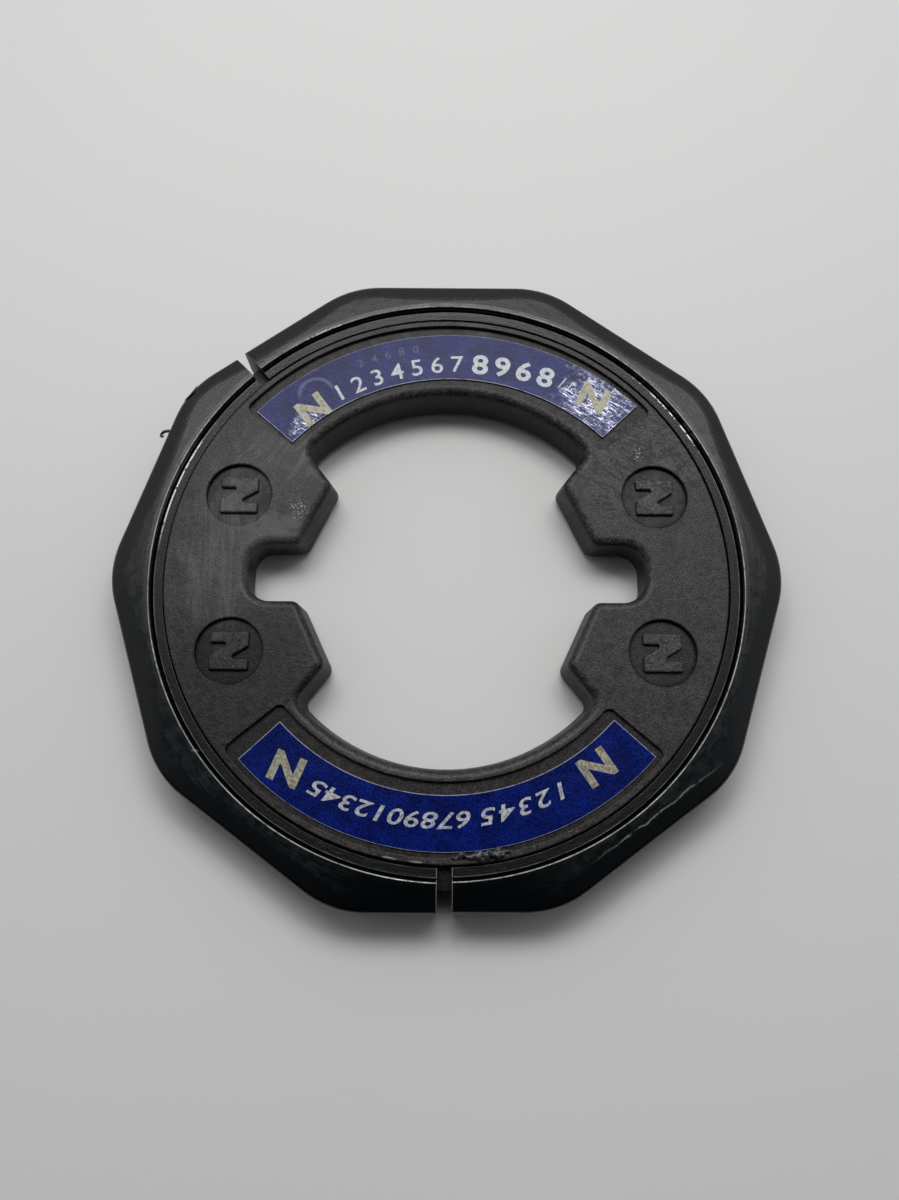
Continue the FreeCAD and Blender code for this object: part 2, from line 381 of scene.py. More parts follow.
def spot_group():
    """An uneven round patch: 1 at its centre, 0 beyond its reach."""
    graph, given, result = new_group(
        "Spot",
        {
            "Vector": ("Vector", None),
            "Centre": ("Vector", (0.0, 0.0, 0.0)),
            "Stretch": ("Vector", (1.0, 1.0, 1.0)),
            "Reach": ("Float", 1.0),
            "Raggedness": ("Float", 0.5),
        },
        {"Mask": "Float"},
    )
    away = graph.vector(
        "DIVIDE", graph.vector("SUBTRACT", given["Vector"], given["Centre"]), given["Stretch"]
    )
    distance = graph.distance(away)
    part = graph.math("DIVIDE", distance, given["Reach"])
    scale = graph.math("DIVIDE", 3.0, given["Reach"])
    wander = graph.math("SUBTRACT", graph.noise(given["Vector"], scale, 5.0, 0.65), 0.5)
    ragged = graph.scaled_plus(graph.times(wander, given["Raggedness"]), 3.0, part)
    graph.feed(result["Mask"], graph.ramp(ragged, 0.35, 1.0, 1.0, 0.0))


def grain_group():
    """Fine moulded or coated grain: an even value and a height."""
    graph, given, result = new_group(
        "Grain",
        {"Vector": ("Vector", None), "Size": ("Float", 0.2), "Contrast": ("Float", 1.0)},
        {"Value": "Float", "Height": "Float"},
    )
    scale = graph.math("DIVIDE", 1.0, given["Size"])
    coarse = graph.noise(given["Vector"], scale, 4.0, 0.62)
    centred = graph.math("SUBTRACT", coarse, 0.5)
    value = graph.math("MULTIPLY_ADD", centred, given["Contrast"], 0.5, clamp=True)
    graph.feed(result["Value"], value)
    graph.feed(result["Height"], coarse)


def blotch_group():
    """Large soft patches with ragged edges."""
    graph, given, result = new_group(
        "Blotches",
        {
            "Vector": ("Vector", None),
            "Size": ("Float", 3.0),
            "Start": ("Float", 0.5),
            "Full": ("Float", 0.65),
        },
        {"Mask": "Float"},
    )
    scale = graph.math("DIVIDE", 1.0, given["Size"])
    patches = graph.noise(given["Vector"], scale, 5.0, 0.6, 0.4)
    graph.feed(result["Mask"], graph.ramp(patches, given["Start"], given["Full"]))


def scratch_group():
    """Thin broken lines that run one way."""
    graph, given, result = new_group(
        "Scratches",
        {
            "Vector": ("Vector", None),
            "Turn": ("Float", 0.0),
            "Length": ("Float", 4.0),
            "Spacing": ("Float", 0.4),
            "Width": ("Float", 0.02),
            "Amount": ("Float", 0.5),
        },
        {"Mask": "Float"},
    )
    angle = graph.math("RADIANS", given["Turn"])
    turned = graph.add(
        "ShaderNodeVectorRotate", {"Vector": given["Vector"], "Angle": angle}, rotation_type="Z_AXIS"
    )
    stretch = graph.add("ShaderNodeCombineXYZ", {0: given["Length"], 1: given["Spacing"], 2: given["Length"]})
    drawn = graph.vector("DIVIDE", turned.outputs[0], stretch.outputs[0])
    field = graph.noise(drawn, 1.0, 1.0, 0.5)
    away = graph.math("ABSOLUTE", graph.math("SUBTRACT", field, 0.5))
    line = graph.ramp(away, 0.0, given["Width"], 1.0, 0.0)
    missing = graph.math("SUBTRACT", 1.0, given["Amount"])
    there = graph.ramp(graph.noise(drawn, 0.7, 3.0, 0.6), missing, graph.math("ADD", missing, 0.12))
    graph.feed(result["Mask"], graph.times(line, there))


def decagon_group():
    """Distance in from the nearest flat of the ten-sided outline."""
    graph, given, result = new_group(
        "Decagon",
        {"Radius": ("Float", 0.0), "Turn": ("Float", 0.0)},
        {"Inset": "Float"},
    )
    turn = graph.math("SUBTRACT", graph.math("FLOORED_MODULO", given["Turn"], SIDE_TURN), SIDE_TURN / 2)
    reach = graph.times(given["Radius"], graph.math("COSINE", graph.math("RADIANS", turn)))
    graph.feed(result["Inset"], graph.math("SUBTRACT", APOTHEM, reach))


def gap_group():
    """The two faces of a saw cut through the rim, and the thin edges beside them."""
    graph, given, result = new_group(
        "Saw Gap",
        {"Vector": ("Vector", None), "Direction": ("Float", 0.0), "Half Width": ("Float", 0.4)},
        {"Wall": "Float", "Edge": "Float"},
    )
    angle = graph.times(graph.math("RADIANS", given["Direction"]), -1.0)
    turned = graph.add(
        "ShaderNodeVectorRotate", {"Vector": given["Vector"], "Angle": angle}, rotation_type="Z_AXIS"
    )
    parts = graph.split(turned.outputs[0])
    here = graph.ramp(parts[0], 19.0, 19.4)
    across = graph.math("SUBTRACT", graph.math("ABSOLUTE", parts[1]), given["Half Width"])
    wall = graph.ramp(across, 0.020, 0.004)
    edge = graph.ramp(graph.math("ABSOLUTE", graph.math("SUBTRACT", across, 0.030)), 0.035, 0.012)
    graph.feed(result["Wall"], graph.times(wall, here))
    graph.feed(result["Edge"], graph.times(edge, here))


def dent_highlight_group():
    """Painted highlight on the upper side of the crest of the round dent near the left end of the upper label.
    """
    graph, given, result = new_group("Dent", {"Vector": ("Vector", None)}, {"Mask": "Float"})
    away = graph.vector("MULTIPLY", graph.vector("SUBTRACT", given["Vector"], DENT_CENTRE), (1.0, 1.0, 0.0))
    distance = graph.distance(away)
    across = graph.split(away)
    crest = graph.band(distance, centre=DENT_R, half_width=0.02, softness=0.22)
    upper = graph.ramp(graph.math("ADD", across[1], graph.times(across[0], -0.3)), -0.4, 0.7)
    graph.feed(result["Mask"], graph.times(crest, upper))


def make_groups():
    """Builds the effects that the materials share."""
    builders = (polar_group, band_group, spot_group, grain_group, blotch_group, scratch_group, decagon_group)
    for build in (*builders, gap_group, dent_highlight_group):
        build()


def new_material(name):
    """A material with one Principled surface: the material, its graph and that surface's inputs."""
    material = bpy.data.materials.new(name)
    material.use_nodes = True
    tree = material.node_tree
    tree.nodes.clear()
    graph = Graph(tree)
    surface = graph.add("ShaderNodeBsdfPrincipled")
    graph.add("ShaderNodeOutputMaterial", {"Surface": surface.outputs["BSDF"]})
    return material, graph, surface.inputs


def ring_coordinates(graph, centre=(0.0, 0.0, 0.0)):
    """Outputs of the Ring Coordinates group on this material's Object coordinates."""
    place = graph.add("ShaderNodeTexCoord").outputs["Object"]
    tree = bpy.data.node_groups["Ring Coordinates"]
    node = graph.add("ShaderNodeGroup", node_tree=tree)
    graph.feed(node.inputs["Vector"], place)
    graph.feed(node.inputs["Centre"], centre)
    return node.outputs


def bump(graph, height, distance):
    """Normal of a surface with a fine relief of the given height in metres."""
    values = {"Height": height, "Distance": distance, "Strength": 1.0}
    return graph.add("ShaderNodeBump", values).outputs["Normal"]


def colour(value):
    """A colour property as the four numbers of a colour socket."""
    return (*value, 1.0)


# ---------------------------------------------------------------- materials

# How strongly each kind of wear shows, and the painted highlight on the dent and the painted glare and glints
# on the foil, from 0 to 1.
RUBS_SHOW = 0.42
FILM_SHOWS = 0.8
BRUSHING_SHOWS = 0.07
SPECKS_SHOW = 0.5
SCRATCHES_SHOW = 0.16
DENT_HIGHLIGHT_SHOWS = 0.45
GLARE_HAZE_SHOWS = 0.16
GLINT_SHOWS = 0.75
# How metallic the worn rim and the crushed foil are.
WORN_METAL = 0.25
GLINT_METAL = 0.5
# Brightness of the dark mottles of the foil and print, and of rubbed print.
DARK_MOTTLE = 0.55
RUBBED_PRINT = 0.30
# Height of the foil's crinkles beside that of its grain, and width of its cut edge in millimetres.
GLINT_RELIEF = 2.2
EDGE_REACH = 0.03
PRINT_RELIEF = 0.008 * MM
TORN_RELIEF = 0.010 * MM


def shaded(graph, base, shade):
    """A colour made lighter or darker by a number that changes over the surface."""
    grey = graph.add("ShaderNodeCombineXYZ", {0: shade, 1: shade, 2: shade}).outputs[0]
    node = graph.add("ShaderNodeMix", {0: 1.0, 6: base, 7: grey}, data_type="RGBA", blend_type="MULTIPLY")
    return node.outputs[2]


def core_marks(graph, ring):
    """Pale rubs on the core: wisps that follow the ring on the left, smears and clustered specks."""
    place = ring["Millimetres"]
    cloud = graph.spot(
        place, centre=(-15.3, 1.6, CORE_TOP), stretch=(0.75, 1.5, 1.0), reach=5.6, raggedness=0.5
    )
    wisps = graph.scratches(place, turn=88.0, length=3.6, spacing=0.34, width=0.16, amount=0.62)
    smears = graph.scratches(place, turn=-52.0, length=2.6, spacing=0.40, width=0.14, amount=0.55)
    corner = graph.spot(
        place, centre=(-12.4, 8.4, CORE_TOP), stretch=(1.2, 1.0, 1.0), reach=3.6, raggedness=0.6
    )
    keyway = graph.spot(
        place, centre=(-12.6, 2.6, CORE_TOP), stretch=(1.3, 1.0, 1.0), reach=2.6, raggedness=0.6
    )
    rubbed = graph.most(graph.times(cloud, graph.between(wisps, 0.30, 0.8)), graph.times(keyway, 0.8))
    smeared = graph.times(corner, graph.between(smears, 0.25, 1.0))
    hairs = graph.scratches(place, turn=35.0, length=5.0, spacing=0.8, width=0.03, amount=0.34)
    return graph.times(graph.most(rubbed, smeared, graph.times(hairs, 0.5)), RUBS_SHOW)


def core_sparkle(graph, ring):
    """Clusters of specks on the two upper lugs, where the moulding skin is worn through, painted bright as
    glints.
    """
    place = ring["Millimetres"]
    specks = graph.blotches(place, size=0.15, start=0.57, full=0.63)
    clusters = [
        graph.spot(place, centre=centre, stretch=(1.0, 1.2, 1.0), reach=reach, raggedness=0.4)
        for centre, reach in (((-10.6, 4.8, CORE_TOP), 1.0), ((13.95, 9.1, CORE_TOP), 0.7))
    ]
    return graph.times(graph.most(*clusters), specks)


def roundels(graph, ring):
    """The four marked discs: painted light on the tops of their letters, painted shade on their sides and on
    the floors on the left, and their dark joints.
    """
    place = ring["Millimetres"]
    across, _, height = graph.split(place)
    folded = graph.vector("ABSOLUTE", place)
    away = graph.vector("SUBTRACT", folded, ROUNDEL)
    flat = graph.vector("MULTIPLY", away, (1.0, 1.0, 0.0))
    distance = graph.distance(flat)
    inside = graph.ramp(distance, ROUNDEL_R, ROUNDEL_R - 0.10)
    # Painted light: the tops of the letters are made lighter.
    letter = graph.times(inside, graph.ramp(height, CORE_TOP - 0.20, CORE_TOP - 0.12))
    # Painted shade: the sides of the letters are darkened.
    side = graph.band(height, centre=ROUNDEL_FLOOR + 0.10, half_width=0.06, softness=0.05)
    joint = graph.band(distance, centre=ROUNDEL_R - 0.05, half_width=0.06, softness=0.16)
    # Painted shade: the floors of the discs on the left are darkened.
    floor = graph.times(inside, graph.ramp(height, ROUNDEL_FLOOR + 0.05, ROUNDEL_FLOOR + 0.01))
    shaded_sunk = graph.times(floor, graph.ramp(across, 2.0, -2.0))
    return letter, graph.times(inside, side), shaded_sunk, joint


def core_shade(graph, ring):
    """Lighter and darker parts of the core: grain, cracks, stains and dark joints, with painted shade on the
    lower left, the upright walls, the letter sides and the left floors of the marked discs, and painted light
    on the letter tops.
    """
    place = ring["Millimetres"]
    height = graph.split(place)[2]
    fine = graph.grain(place, size=0.11, contrast=3.2)
    cracks = graph.scratches(place, turn=25.0, length=0.8, spacing=0.45, width=0.13, amount=0.60)
    leather = graph.spot(
        place, centre=(13.0, 9.0, CORE_TOP), stretch=(1.0, 0.8, 1.0), reach=8.5, raggedness=0.4
    )
    stains = graph.blotches(place, size=1.5, start=0.50, full=0.66)
    letter, side, shaded_sunk, joint = roundels(graph, ring)
    # Painted shade: the core is darkened towards its lower left.
    painted_shade_lower_left = graph.spot(
        place, centre=(-14.5, -8.5, CORE_TOP), stretch=(1.0, 1.1, 1.0), reach=9.0, raggedness=0.3
    )
    # Painted shade: the upright walls of the core are darkened.
    wall = graph.band(height, centre=MID_Z, half_width=0.85, softness=0.30)
    shade = graph.ramp(fine, 0.05, 0.95, 0.30, 1.80)
    changes = (
        (graph.times(cracks, leather), -0.75, 1.0),
        (painted_shade_lower_left, -0.45, 1.0),
        (stains, -0.30, 1.12),
        (leather, 0.35, 1.0),
        (joint, -0.80, 1.0),
        # Painted light on the letter tops; painted shade on the letter sides and the left floors.
        (letter, 0.30, 1.0),
        (side, -0.75, 1.0),
        (shaded_sunk, -0.50, 1.0),
        (wall, -0.65, 1.0),
    )
    for mask, change, base in changes:
        shade = graph.times(shade, graph.scaled_plus(mask, change, base))
    return shade


def core_sunk_shade_and_joint(graph, ring):
    """Patchy painted shade on the sunk floors and on everything else below the top face, and the dark joint
    round the core.
    """
    height = graph.split(ring["Millimetres"])[2]
    sunk = graph.ramp(height, CORE_TOP - 0.02, CORE_TOP - 0.22)
    joint = graph.band(ring["Radius"], centre=CORE_R, half_width=0.04, softness=0.10)
    patchy = graph.blotches(ring["Millimetres"], size=0.7, start=0.30, full=0.62)
    return graph.times(graph.most(sunk, joint), graph.between(patchy, 0.25, 0.80))


def core_polish(graph, ring):
    """Rubbed, shinier places: the rounded edges of the opening and patches of the face."""
    height = graph.split(ring["Millimetres"])[2]
    edge = graph.band(height, centre=CORE_TOP - 0.14, half_width=0.10, softness=0.04)
    inside = graph.ramp(ring["Radius"], OPENING_R + 0.2, OPENING_R)
    patches = graph.blotches(ring["Millimetres"], size=2.2, start=0.50, full=0.70)
    return graph.most(graph.times(edge, inside), graph.times(patches, 0.6))


def core_material(settings):
    """Bonded ferrite: brownish charcoal with strong fine grain, pale rubs and polished edges."""
    material, graph, surface = new_material("bonded magnet")
    ring = ring_coordinates(graph)
    place = ring["Millimetres"]
    fleck = graph.grain(place, size=0.35, contrast=2.4)
    height = graph.grain_height(place, size=0.14)
    shade_and_joint, polish, sparkle = core_sunk_shade_and_joint(graph, ring), core_polish(graph, ring), core_sparkle(graph, ring)
    warm = graph.blend(fleck, colour(settings.colour), colour(settings.brown))
    # Painted shade on the sunk parts and the dark joint, over the ferrite colour.
    shaded_sunk = graph.blend(shade_and_joint, warm, colour(settings.shade_and_joint))
    shades = shaded(graph, shaded_sunk, core_shade(graph, ring))
    dusty = graph.blend(core_marks(graph, ring), shades, colour(settings.dust))
    # Worn specks on the lugs, painted bright as glints.
    graph.feed(surface["Base Color"], graph.blend(sparkle, dusty, colour(settings.speck)))
    rough = graph.scaled_plus(graph.math("SUBTRACT", fleck, 0.5), 0.16, settings.roughness)
    graph.feed(surface["Roughness"], graph.scaled_plus(polish, -0.16, rough))
    surface["Specular IOR Level"].default_value = settings.gloss
    relief = graph.scaled_plus(graph.grain_height(place, size=0.7), 1.6, height)
    graph.feed(surface["Normal"], bump(graph, relief, settings.relief))
    return material


def upper_face(graph, ring):
    """1 on the outer faces of the rim, top and underside, and 0 on its upright walls."""
    height = graph.split(ring["Millimetres"])[2]
    from_middle = graph.math("ABSOLUTE", graph.math("SUBTRACT", height, MID_Z))
    return graph.ramp(from_middle, 1.15, 1.35)


def worn_lines(graph, ring):
    """Bare metal along the two edges of the step, brighter in some stretches."""
    place, radius = ring["Millimetres"], ring["Radius"]
    crown = graph.band(radius, centre=CROWN_R + 0.035, half_width=0.020, softness=0.035)
    ledge = graph.band(radius, centre=LEDGE_R - 0.02, half_width=0.018, softness=0.030)
    long_run = graph.blotches(place, size=5.0, start=0.38, full=0.60)
    short_run = graph.blotches(place, size=0.5, start=0.30, full=0.55)
    crown_wear = graph.times(crown, graph.between(long_run, 0.50, 0.90))
    ledge_wear = graph.times(ledge, graph.between(long_run, 0.55, 0.25))
    worn = graph.times(graph.most(crown_wear, ledge_wear), graph.between(short_run, 0.35, 1.0))
    return graph.times(worn, upper_face(graph, ring))


def worn_glints(graph, ring):
    """The stretches of the step's worn metal that are painted bright as glints."""
    place, radius = ring["Millimetres"], ring["Radius"]
    edge = graph.band(radius, centre=LEDGE_R - 0.045, half_width=0.045, softness=0.045)
    outer = graph.band(radius, centre=CROWN_R + 0.03, half_width=0.03, softness=0.03)
    left = graph.spot(
        place, centre=(-19.3, 6.9, CORE_TOP), stretch=(1.0, 1.5, 1.0), reach=4.3, raggedness=0.12
    )
    right = graph.spot(
        place, centre=(16.4, 12.4, CORE_TOP), stretch=(1.0, 1.3, 1.0), reach=4.2, raggedness=0.3
    )
    far = graph.spot(place, centre=(-9.6, 18.5, RIM_TOP), stretch=(1.5, 1.0, 1.0), reach=2.6, raggedness=0.3)
    broken = graph.blotches(place, size=0.55, start=0.36, full=0.46)
    dashes = graph.blotches(place, size=0.45, start=0.46, full=0.55)
    shining = graph.times(edge, left, broken)
    dashed = graph.most(graph.times(edge, right), graph.times(outer, far))
    return graph.times(graph.most(shining, graph.times(dashed, dashes)), upper_face(graph, ring))


def sawn_gap(graph, ring, direction, width, worn):
    """Masks of the raw saw cut and of its worn edge, for one gap of the rim."""
    node = graph.add("ShaderNodeGroup", node_tree=bpy.data.node_groups["Saw Gap"])
    values = {"Vector": ring["Millimetres"], "Direction": direction, "Half Width": width / 2}
    for socket, value in values.items():
        graph.feed(node.inputs[socket], value)
    edge = graph.times(node.outputs["Edge"], worn, upper_face(graph, ring))
    return node.outputs["Wall"], edge


def scuffs(graph, ring, inset):
    """Scuffed bare patches along the turn of the crown, near the step, and a tick across the step."""
    place, along = ring["Millimetres"], ring["Along"]
    sway = graph.times(graph.math("SUBTRACT", graph.noise(place, 0.9, 2.0), 0.5), 0.5)
    turn_line = graph.band(
        graph.math("ADD", inset, sway), centre=BEVEL_W + 0.12, half_width=0.02, softness=0.06
    )
    near = graph.spot(
        place, centre=(14.6, -17.2, RIM_TOP), stretch=(1.5, 1.2, 1.0), reach=4.4, raggedness=0.2
    )
    ragged = graph.blotches(along, size=0.9, start=0.36, full=0.50)
    line = graph.times(turn_line, near, ragged)
    gouge = graph.spot(
        place, centre=(18.25, -18.15, RIM_TOP), stretch=(1.3, 0.8, 1.0), reach=0.42, raggedness=0.5
    )
    tick = graph.spot(place, centre=TICK, stretch=(1.7, 0.3, 1.0), reach=0.42, raggedness=0.3)
    step_side = graph.band(ring["Radius"], centre=CROWN_R + 0.20, half_width=0.06, softness=0.20)
    torn = graph.scratches(along, turn=12.0, length=0.8, spacing=0.26, width=0.10, amount=0.36)
    fray = graph.times(step_side, torn, 0.22)
    specks = graph.blotches(place, size=0.20, start=0.71, full=0.76)
    return graph.most(line, fray, gouge, tick, graph.times(specks, SPECKS_SHOW))


def coating(graph, ring, inset, settings):
    """Colour of the coating with its film and brushing on the crown, both left off the near side as painted
    shade, and where the crown is hazy.
    """
    along = ring["Along"]
    brushed = graph.scratches(along, turn=0.0, length=2.2, spacing=0.10, width=0.12, amount=0.55)
    film = graph.blotches(along, size=0.7, start=0.30, full=0.75)
    crown = graph.times(
        graph.ramp(inset, 0.9, 1.6), graph.ramp(ring["Radius"], CROWN_R - 0.05, CROWN_R + 0.05)
    )
    # Painted shade: the film and brushing are left off the crown's near side, which stays dark.
    near_side_shade = graph.spot(
        ring["Millimetres"], centre=(0.0, -21.5, RIM_TOP), stretch=(1.6, 1.0, 1.0), reach=7.0, raggedness=0.1
    )
    crown = graph.times(crown, graph.math("SUBTRACT", 1.0, near_side_shade))
    hazy = graph.times(film, crown)
    coat = graph.blend(graph.times(hazy, FILM_SHOWS), colour(settings.colour), colour(settings.haze))
    lines = graph.times(brushed, crown, BRUSHING_SHOWS)
    return graph.blend(lines, coat, colour(settings.scuff)), hazy, brushed


def rim_material(name, settings, shift=(0.0, 0.0, 0.0)):
    """Dark coating on metal, brushed along the ring and worn bare on its edges, with painted glints on the step
    and painted shade on the crown's near side.
    """
    material, graph, surface = new_material(name)
    ring = ring_coordinates(graph, shift)
    place = ring["Millimetres"]
    inset = graph.group("Decagon", "Inset", radius=ring["Radius"], turn=ring["Turn"])
    grain = graph.grain(place, size=0.10, contrast=2.0)
    walls, edges = zip(*(sawn_gap(graph, ring, *gap) for gap in GAPS))
    wall, edge = graph.most(*walls), graph.most(*edges)
    marks, worn_glint = scuffs(graph, ring, inset), worn_glints(graph, ring)
    bare = graph.most(worn_lines(graph, ring), edge, worn_glint)
    coat, hazy, brushed = coating(graph, ring, inset, settings)
    coat = graph.blend(marks, coat, colour(settings.scuff))
    coat = graph.blend(wall, coat, colour(settings.sawn))
    # Worn metal, painted near white where it glints.
    metal = graph.blend(worn_glint, colour(settings.bare), colour(settings.worn_glint))
    graph.feed(surface["Base Color"], graph.blend(bare, coat, metal))
    graph.feed(surface["Metallic"], graph.times(bare, WORN_METAL))
    rough = graph.scaled_plus(graph.math("SUBTRACT", grain, 0.5), 0.14, settings.roughness)
    rough = graph.scaled_plus(hazy, 0.14, rough)
    graph.feed(surface["Roughness"], graph.scaled_plus(wall, 0.25, rough))
    surface["Specular IOR Level"].default_value = settings.gloss
    height = graph.scaled_plus(brushed, 0.25, graph.grain_height(place, size=0.16))
    height = graph.scaled_plus(marks, -0.8, height)
    graph.feed(surface["Normal"], bump(graph, height, settings.relief))
    return material


def cut_edges(graph, ring, shape, reach):
    """Pale cut edge of a label: its inner edge, both ends and, thinner, its outer edge."""
    inner, outer = shape["radii"]
    start, end = shape["span"]
    per_mm = math.degrees(1.0 / outer)
    inside = graph.band(ring["Radius"], centre=inner, half_width=reach, softness=0.03)
    outside = graph.band(ring["Radius"], centre=outer, half_width=reach * 0.3, softness=0.02)
    ends = [
        graph.band(ring["Turn"], centre=turn, half_width=reach * per_mm, softness=0.03 * per_mm)
        for turn in (start, end)
    ]
    broken = graph.blotches(ring["Millimetres"], size=0.6, start=0.33, full=0.50)
    return graph.times(graph.most(inside, outside, *ends), graph.between(broken, 0.35, 1.0))


def crushed_foil_glare(graph, place, spots):
    """Crumpled ends of a label with painted glare: how strong the glare is at each place, and its crinkles,
    painted bright as glints.
    """
    masks = [
        graph.spot(place, centre=(*spot, CORE_TOP), reach=reach, raggedness=0.7)
        for spot, reach in spots
    ]
    crushed_glare = graph.most(*masks)
    long = graph.scratches(place, turn=32.0, length=0.9, spacing=0.20, width=0.13, amount=0.62)
    short = graph.scratches(place, turn=-40.0, length=0.45, spacing=0.16, width=0.12, amount=0.52)
    return crushed_glare, graph.times(crushed_glare, graph.most(long, short))


def label_material(name, settings, shape, base, crushed_glare):
    """Printed blue foil: mottled, finely scratched, crumpled at its ends with painted glare and glints there, a
    painted highlight on the dent, and a pale cut edge.
    """
    material, graph, surface = new_material(name)
    place = ring_coordinates(graph)["Millimetres"]
    own = ring_coordinates(graph, (*shape["centre"], 0.0))
    mottle = graph.blotches(place, size=1.3, start=0.34, full=0.66)
    fleck = graph.grain(place, size=0.10, contrast=3.0)
    foil = graph.blend(mottle, colour([DARK_MOTTLE * part for part in base]), colour(base))
    foil = shaded(graph, foil, graph.ramp(fleck, 0.05, 0.95, 0.55, 1.55))
    fine = graph.scratches(place, turn=22.0, length=1.8, spacing=0.20, width=0.06, amount=shape["scratched"])
    foil = graph.blend(graph.times(fine, SCRATCHES_SHOW), foil, colour(settings.bloom))
    # Painted highlight along the dent's crest, in the pale bloom colour.
    dent_highlight = graph.group("Dent", "Mask", vector=place)
    foil = graph.blend(graph.times(dent_highlight, DENT_HIGHLIGHT_SHOWS), foil, colour(settings.bloom))
    height = fleck
    if crushed_glare:
        glare_haze, glitter = crushed_foil_glare(graph, place, crushed_glare)
        # Painted glare haze and glints on the crumpled ends; the crinkles also raise the bump.
        foil = graph.blend(graph.times(glare_haze, GLARE_HAZE_SHOWS), foil, colour(settings.bloom))
        foil = graph.blend(graph.times(glitter, GLINT_SHOWS), foil, colour(settings.glint))
        height = graph.scaled_plus(glitter, GLINT_RELIEF, height)
        graph.feed(surface["Metallic"], graph.times(glitter, GLINT_METAL))
    edge = cut_edges(graph, own, shape, EDGE_REACH)
    graph.feed(surface["Base Color"], graph.blend(edge, foil, colour(settings.paper)))
    rough = graph.ramp(fleck, 0.0, 1.0, settings.roughness - 0.06, settings.roughness + 0.08)
    graph.feed(surface["Roughness"], rough)
    surface["Specular IOR Level"].default_value = settings.gloss
    graph.feed(surface["Normal"], bump(graph, height, settings.relief))
    return material


def print_material(name, base, metal, flecked):
    """Foil print, flecked where it is rubbed."""
    material, graph, surface = new_material(name)
    place = ring_coordinates(graph)["Millimetres"]
    fleck = graph.grain(place, size=0.20, contrast=2.6)
    rubbed = graph.blotches(place, size=0.30, start=0.50, full=0.62)
    mottled = colour([DARK_MOTTLE * part for part in base])
    dark = colour([RUBBED_PRINT * part for part in base])
    light = graph.blend(graph.ramp(fleck, 0.2, 0.8), mottled, colour(base))
    graph.feed(surface["Base Color"], graph.blend(graph.times(rubbed, flecked), light, dark))
    surface["Metallic"].default_value = metal
    graph.feed(surface["Roughness"], graph.ramp(fleck, 0.0, 1.0, 0.35, 0.60))
    graph.feed(surface["Normal"], bump(graph, fleck, PRINT_RELIEF))
    return material


def torn_material(name, dark, light, metal):
    """Torn plastic or metal of the small burrs: dark with lighter ridges."""
    material, graph, surface = new_material(name)
    place = ring_coordinates(graph)["Millimetres"]
    ridges = graph.blotches(place, size=0.22, start=0.45, full=0.68)
    grain = graph.grain(place, size=0.08, contrast=1.6)
    graph.feed(surface["Base Color"], graph.blend(ridges, colour(dark), colour(light)))
    graph.feed(surface["Metallic"], graph.times(ridges, metal))
    graph.feed(surface["Roughness"], graph.ramp(grain, 0.0, 1.0, 0.18, 0.42))
    graph.feed(surface["Normal"], bump(graph, grain, TORN_RELIEF))
    return material


# ---------------------------------------------------------------- stage


FLOOR_SHADE = 0.97
FLOOR_ROUGHNESS = 0.9
FLOOR_GLOSS = 0.2
# Sides of a softbox as shares of its distance.
SOFTBOX_SIDES = (0.54, 0.34)
ROOM_COLOUR = (0.97, 0.985, 1.0, 1.0)


def point_at(place, target, roll=0.0):
    """Rotation that looks from one place to another, turned about the line of sight."""
    turn = (target - place).to_track_quat("-Z", "Y")
    return turn @ Quaternion(UP, roll)


class WEIGHTRING_OT_camera(Operator):
    """Add the camera and look at the ring through it"""

    bl_idname = "weightring.camera"
    bl_label = "Add camera"

    def execute(self, context):
        settings = context.scene.weightring_camera
        data = bpy.data.cameras.new("camera")
        data.lens = settings.lens
        data.clip_start = 1.0 * MM
        data.clip_end = 10.0
        camera = bpy.data.objects.new("camera", data)
        camera.location = settings.location
        camera.rotation_mode = "QUATERNION"
        camera.rotation_quaternion = point_at(Vector(settings.location), Vector(settings.aim), settings.roll)
        context.scene.collection.objects.link(camera)
        bpy.context.scene.camera = camera
        return {"FINISHED"}


def floor_material(base):
    """Pale matt floor with a faint unevenness."""
    material, graph, surface = new_material("pale floor")
    place = graph.add("ShaderNodeTexCoord").outputs["Object"]
    cloud = graph.noise(place, 25.0, 3.0)
    low = tuple(FLOOR_SHADE * part for part in base)
    graph.feed(surface["Base Color"], graph.blend(cloud, colour(low), colour(base)))
    surface["Roughness"].default_value = FLOOR_ROUGHNESS
    surface["Specular IOR Level"].default_value = FLOOR_GLOSS
    return material


def make_floor(context, settings):
    """A square pale floor just under the ring."""
    mesh = bpy.data.meshes.new("floor")
    bm = bmesh.new()
    bmesh.ops.create_grid(bm, x_segments=1, y_segments=1, size=settings.floor_size / 2)
    bm.to_mesh(mesh)
    bm.free()
    mesh.materials.append(floor_material(settings.floor_colour))
    floor = bpy.data.objects.new("floor", mesh)
    context.scene.collection.objects.link(floor)


def make_softbox(context, name, settings, side):
    """One softbox on the far side of the ring, turned left or right by side."""
    data = bpy.data.lights.new(name, "AREA")
    data.shape = "RECTANGLE"
    data.size, data.size_y = (settings.key_distance * side_share for side_share in SOFTBOX_SIDES)
    data.energy = settings.key_power
    turn = side * settings.key_spread
    flat = settings.key_distance * math.cos(settings.key_height)
    height = settings.key_distance * math.sin(settings.key_height)
    place = Vector((flat * math.sin(turn), flat * math.cos(turn), height))
    light = bpy.data.objects.new(name, data)
    light.location = place
    light.rotation_mode = "QUATERNION"
    light.rotation_quaternion = point_at(place, Vector())
    context.scene.collection.objects.link(light)


